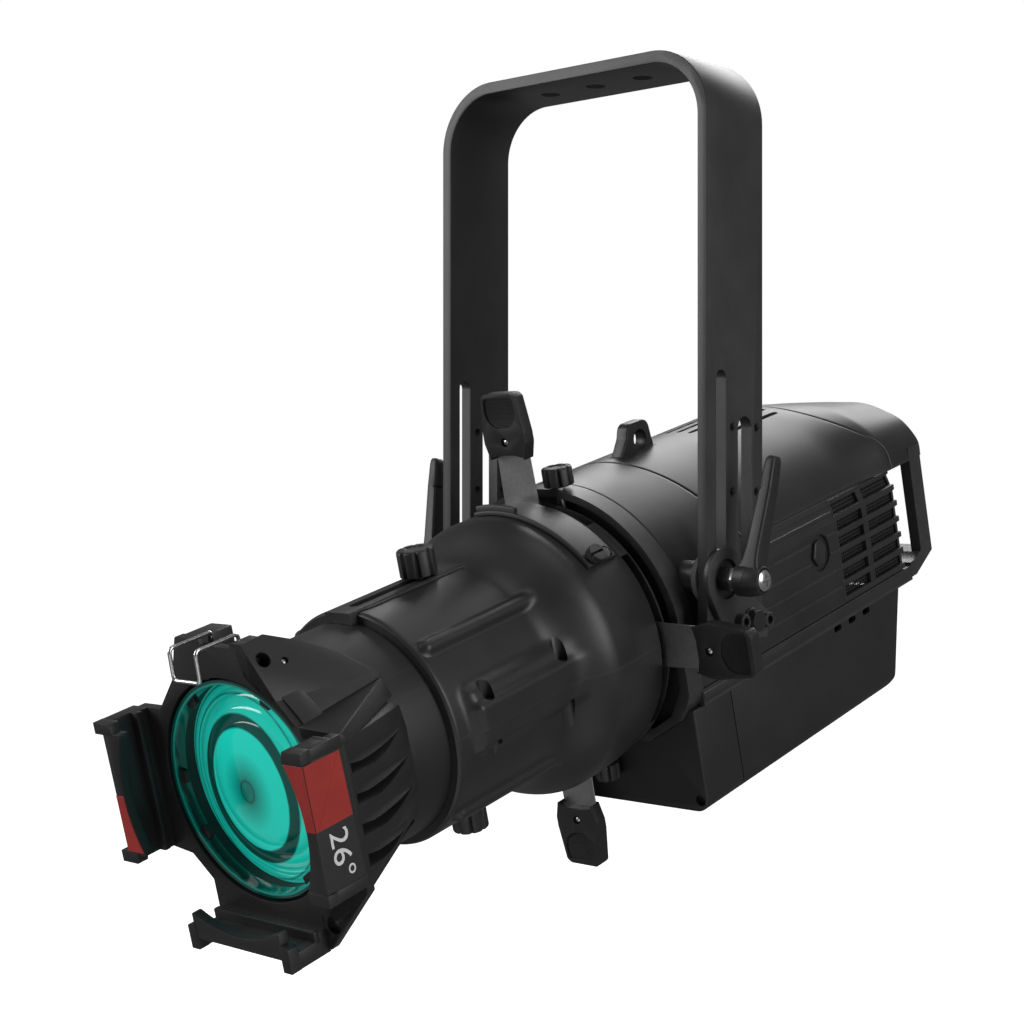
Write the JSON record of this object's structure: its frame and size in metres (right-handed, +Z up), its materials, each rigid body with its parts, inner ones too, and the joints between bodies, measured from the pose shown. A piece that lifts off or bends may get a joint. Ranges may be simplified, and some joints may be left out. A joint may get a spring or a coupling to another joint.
{
  "type": "ellipsoidal spotlight",
  "caption": "Yoke-hung ellipsoidal spotlight: LED housing with vented sides, rotating shutter barrel and sliding lens tube with a colour frame holder.",
  "frame": {"origin": "centre of the yoke's middle clamp hole, on the yoke's top face", "axes": "+Z up, the beam leaves towards -Y and slightly down, +X is the lamp's left-hand side seen from the front"},
  "size_m": [0.3164, 0.629, 0.5279],
  "materials": {
    "yoke_paint": "satin black paint on bent steel bar",
    "cast_black": "satin black powder coat on die-cast aluminium",
    "plastic_black": "moulded black plastic",
    "black_steel": "black oxide",
    "steel": "zinc-plated steel",
    "blade_steel": "brushed stainless steel sheet",
    "wire": "bright spring wire",
    "bare_aluminium": "bare aluminium",
    "dark_mesh": "dark anodised sheet",
    "friction_pad": "brown friction material",
    "board": "circuit board with green solder mask",
    "grey_rubber": "grey rubber key",
    "display": "dark glossy display window",
    "front_glass": "coated glass that shows blue-green",
    "lens_glass": "clear glass"
  },
  "bodies": {
    "yoke": {"yoke": "yoke_paint", "pivot_plates": "yoke_paint", "plate_cap_screws": "black_steel", "plate_hex_bolts": "steel"},
    "head": {"pivot_brackets": "cast_black", "tilt_studs": "steel", "friction_discs": "friction_pad", "front_bezel": "cast_black", "front_hood": "cast_black", "top_cover": "cast_black", "rear_hood": "cast_black", "side_panels": "cast_black", "vent_screens": "dark_mesh", "lower_tray": "cast_black", "electronics_box": "cast_black", "box_front_cover": "cast_black", "rear_handles": "cast_black", "rear_panel": "cast_black", "safety_loop": "cast_black", "heat_sink": "bare_aluminium", "led_board": "board", "mixing_cone": "bare_aluminium", "condenser_lens": "lens_glass", "fan_frame": "plastic_black", "power_supply": "bare_aluminium", "control_board": "board", "rear_sockets": "plastic_black", "display_window": "display", "housing_screws": "black_steel"},
    "fan": {"fan_rotor": "plastic_black"},
    "right_lever": {"lever_right": "plastic_black"},
    "left_lever": {"lever_left": "plastic_black"},
    "menu_button": {"button_menu": "grey_rubber"},
    "up_button": {"button_up": "grey_rubber"},
    "down_button": {"button_down": "grey_rubber"},
    "rotation_knob": {"rotation_lock_knob": "plastic_black"},
    "gate_knob": {"gate_lock_knob": "plastic_black"},
    "barrel": {"barrel_upper_half": "cast_black", "barrel_lower_half": "cast_black", "barrel_screws": "black_steel", "gate_front_plate": "dark_mesh", "gate_rear_ring": "cast_black"},
    "cover": {"slot_cover": "cast_black"},
    "cover_screw": {"slot_cover_screw": "plastic_black"},
    "top_shutter": {"shutter_top": "blade_steel", "shutter_top_grip": "plastic_black"},
    "right_shutter": {"shutter_right": "blade_steel", "shutter_right_grip": "plastic_black"},
    "bottom_shutter": {"shutter_bottom": "blade_steel", "shutter_bottom_grip": "plastic_black"},
    "left_shutter": {"shutter_left": "blade_steel", "shutter_left_grip": "plastic_black"},
    "lens_carriage": {"lens_tube": "cast_black", "colour_frame_holder": "plastic_black", "front_lens": "front_glass", "lens_retainer": "plastic_black", "rear_lens": "lens_glass"},
    "frame_clip": {"holder_clip": "wire"},
    "focus_lock": {"focus_knob": "plastic_black"},
    "lower_focus_lock": {"lower_focus_knob": "plastic_black"}
  },
  "joints": [
    {"name": "tilt", "type": "hinge", "parent": "yoke", "child": "head", "pos_m": [0, -0.0157, -0.3304], "axis": [1, 0, 0], "range_deg": [-45, 15]},
    {"name": "fan_spin", "type": "hinge", "parent": "head", "child": "fan", "pos_m": [0, 0.21655, -0.29356], "axis": [0, 0.9673, 0.2538], "continuous": true},
    {"name": "right_lever_turn", "type": "hinge", "parent": "head", "child": "right_lever", "pos_m": [0.135, -0.0157, -0.3304], "axis": [1, 0, 0], "range_deg": [-60, 45]},
    {"name": "left_lever_turn", "type": "hinge", "parent": "head", "child": "left_lever", "pos_m": [-0.135, -0.0157, -0.3304], "axis": [1, 0, 0], "range_deg": [-60, 45]},
    {"name": "rotation_lock_turn", "type": "hinge", "parent": "head", "child": "rotation_knob", "pos_m": [0.013, -0.05393, -0.26941], "axis": [0, -0.2538, 0.9673], "range_deg": [0, 540]},
    {"name": "barrel_turn", "type": "hinge", "parent": "head", "child": "barrel", "pos_m": [0, -0.02517, -0.36524], "axis": [0, 0.9673, 0.2538], "range_deg": [-20, 20]},
    {"name": "gate_lock_turn", "type": "hinge", "parent": "barrel", "child": "gate_knob", "pos_m": [0.02, -0.01189, -0.45998], "axis": [0, 0.2538, -0.9673], "range_deg": [0, 540]},
    {"name": "cover_turn", "type": "hinge", "parent": "barrel", "child": "cover", "pos_m": [0, -0.06483, -0.37565], "axis": [0, 0.9673, 0.2538], "range_deg": [0, 28]},
    {"name": "cover_screw_turn", "type": "hinge", "parent": "barrel", "child": "cover_screw", "pos_m": [0.07225, -0.08743, -0.31313], "axis": [0.7373, -0.1714, 0.6535], "range_deg": [0, 360]},
    {"name": "top_shutter_slide", "type": "slide", "parent": "barrel", "child": "top_shutter", "axis": [0, 0.2538, -0.9673], "range_m": [-0.004, 0.02]},
    {"name": "right_shutter_slide", "type": "slide", "parent": "barrel", "child": "right_shutter", "axis": [-1, 0, 0], "range_m": [-0.006, 0.02]},
    {"name": "bottom_shutter_slide", "type": "slide", "parent": "barrel", "child": "bottom_shutter", "axis": [0, -0.2538, 0.9673], "range_m": [-0.006, 0.02]},
    {"name": "left_shutter_slide", "type": "slide", "parent": "barrel", "child": "left_shutter", "axis": [1, 0, 0], "range_m": [-0.006, 0.02]},
    {"name": "focus_slide", "type": "slide", "parent": "barrel", "child": "lens_carriage", "axis": [0, -0.9673, -0.2538], "range_m": [-0.008, 0.052]},
    {"name": "focus_lock_turn", "type": "hinge", "parent": "lens_carriage", "child": "focus_lock", "pos_m": [0, -0.16831, -0.32009], "axis": [0, -0.2538, 0.9673], "range_deg": [0, 540]},
    {"name": "lower_focus_lock_turn", "type": "hinge", "parent": "lens_carriage", "child": "lower_focus_lock", "pos_m": [0, -0.12384, -0.47384], "axis": [0, 0.2538, -0.9673], "range_deg": [0, 540]},
    {"name": "clip_open", "type": "hinge", "parent": "lens_carriage", "child": "frame_clip", "pos_m": [0, -0.31391, -0.35622], "axis": [-1, 0, 0], "range_deg": [0, 100]},
    {"name": "menu_press", "type": "slide", "parent": "head", "child": "menu_button", "axis": [0, -0.9673, -0.2538], "range_m": [0, 0.0015], "stiffness_N_per_m": 150, "springref_m": -0.002},
    {"name": "up_press", "type": "slide", "parent": "head", "child": "up_button", "axis": [0, -0.9673, -0.2538], "range_m": [0, 0.0015], "stiffness_N_per_m": 150, "springref_m": -0.002},
    {"name": "down_press", "type": "slide", "parent": "head", "child": "down_button", "axis": [0, -0.9673, -0.2538], "range_m": [0, 0.0015], "stiffness_N_per_m": 150, "springref_m": -0.002}
  ]
}
